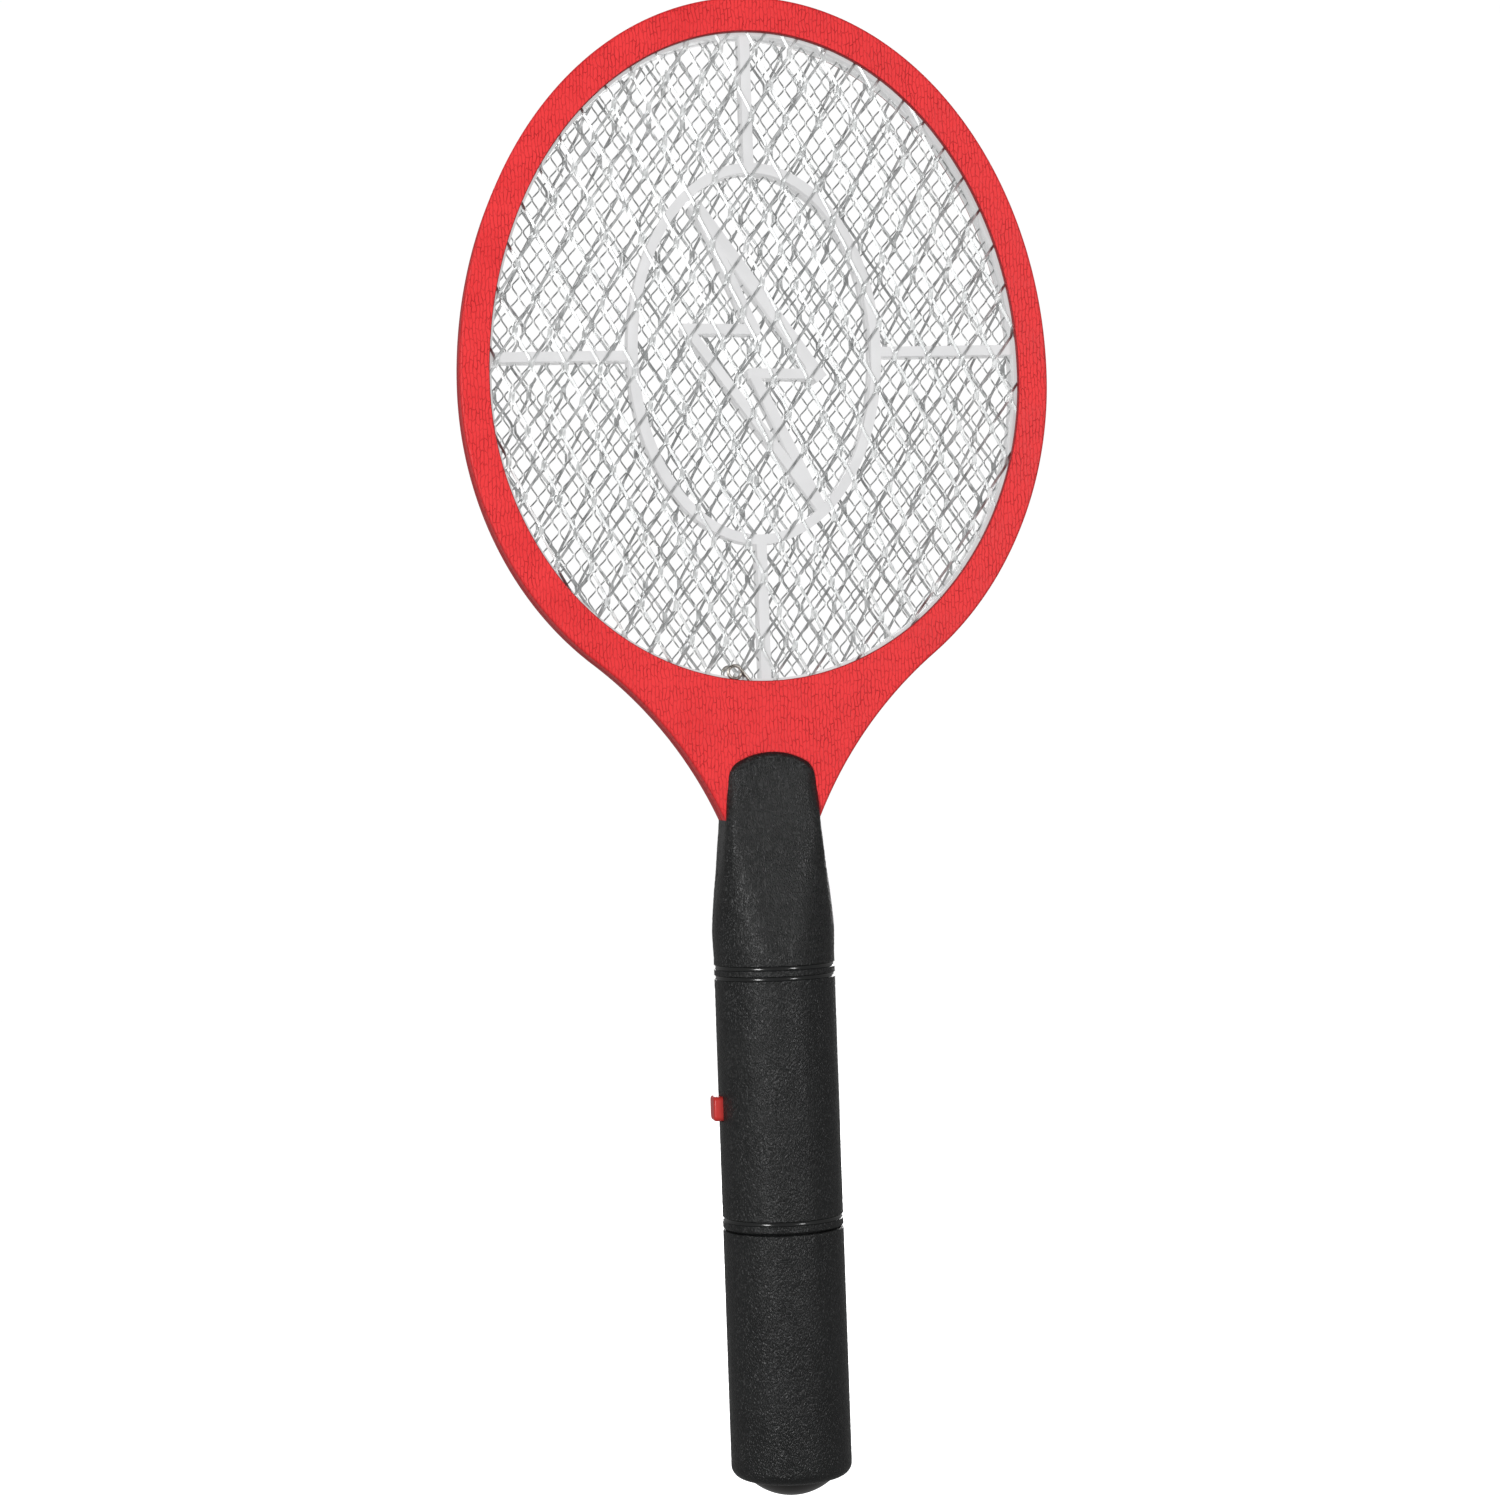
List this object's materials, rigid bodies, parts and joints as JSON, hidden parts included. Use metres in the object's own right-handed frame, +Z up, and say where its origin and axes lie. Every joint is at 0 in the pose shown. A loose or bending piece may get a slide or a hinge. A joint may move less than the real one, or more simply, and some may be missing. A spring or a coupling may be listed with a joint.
{
  "type": "electric fly swatter",
  "caption": "Racket-shaped electric fly swatter: oval red frame with layered metal grids and a spacer lattice, round black handle with push button and pull-off battery sleeve.",
  "frame": {"origin": "lowest point of the end cap's dome, on the handle's axis", "axes": "+Z up the handle to the tip of the head; the front face looks along -Y; the push button is on the -X side"},
  "size_m": [0.174, 0.0356, 0.4396],
  "materials": {
    "red_plastic": "embossed grain",
    "black_plastic": "fine leather grain",
    "cap_plastic": "smooth",
    "white_plastic": "satin",
    "cradle_plastic": "satin",
    "button_plastic": "satin",
    "grid_metal": "bright expanded sheet",
    "contact_wire": "drawn wire",
    "contact_metal": "nickel plated",
    "screw_steel": "zinc plated",
    "board_laminate": "phenolic board",
    "switch_plastic": "satin",
    "ferrite": "sintered",
    "winding_tape": "polyester tape",
    "capacitor_coat": "dipped epoxy",
    "diode_black": "moulded epoxy",
    "resistor_body": "lacquer",
    "lead_red": "insulation",
    "lead_black": "insulation",
    "cell_jacket": "printed film"
  },
  "bodies": {
    "body": {"frame_front": "red_plastic", "frame_rear": "red_plastic", "front_spacer": "white_plastic", "rear_spacer": "white_plastic", "front_grid": "grid_metal", "rear_grid": "grid_metal", "middle_grid": "grid_metal", "front_grid_contact": "contact_wire", "rear_grid_contact": "contact_wire", "handle_front": "black_plastic", "handle_rear": "black_plastic", "handle_screws": "screw_steel", "push_switch": "switch_plastic", "circuit_board": "board_laminate", "board_screws": "screw_steel", "transformer_core": "ferrite", "transformer_winding": "winding_tape", "storage_capacitor": "capacitor_coat", "doubler_capacitors": "capacitor_coat", "diodes": "diode_black", "resistors": "resistor_body", "transistor": "diode_black", "battery_lead_positive": "lead_red", "battery_lead_negative": "lead_black", "front_grid_lead": "lead_black", "rear_grid_lead": "lead_black", "middle_grid_lead": "lead_red", "battery_cradle": "cradle_plastic", "positive_contact": "contact_metal", "negative_contact": "contact_metal", "jumper_contact": "contact_metal", "negative_spring": "contact_metal", "jumper_spring": "contact_metal", "battery_cell_left": "cell_jacket", "battery_cell_right": "cell_jacket"},
    "button": {"push_button": "button_plastic"},
    "plunger": {"switch_plunger": "switch_plastic"},
    "sleeve": {"battery_sleeve": "black_plastic", "end_cap": "cap_plastic"}
  },
  "joints": [
    {"name": "button_press", "type": "slide", "parent": "body", "child": "button", "axis": [1, 0, 0], "range_m": [0, 0.0012], "stiffness_N_per_m": 600, "springref_m": -0.002},
    {"name": "plunger_press", "type": "slide", "parent": "body", "child": "plunger", "axis": [1, 0, 0], "range_m": [0, 0.0012]},
    {"name": "sleeve_slide", "type": "slide", "parent": "body", "child": "sleeve", "axis": [0, 0, -1], "range_m": [0, 0.066]}
  ],
  "couplings": [
    {"joint": "plunger_press", "follows": "button_press", "ratio": 1}
  ]
}
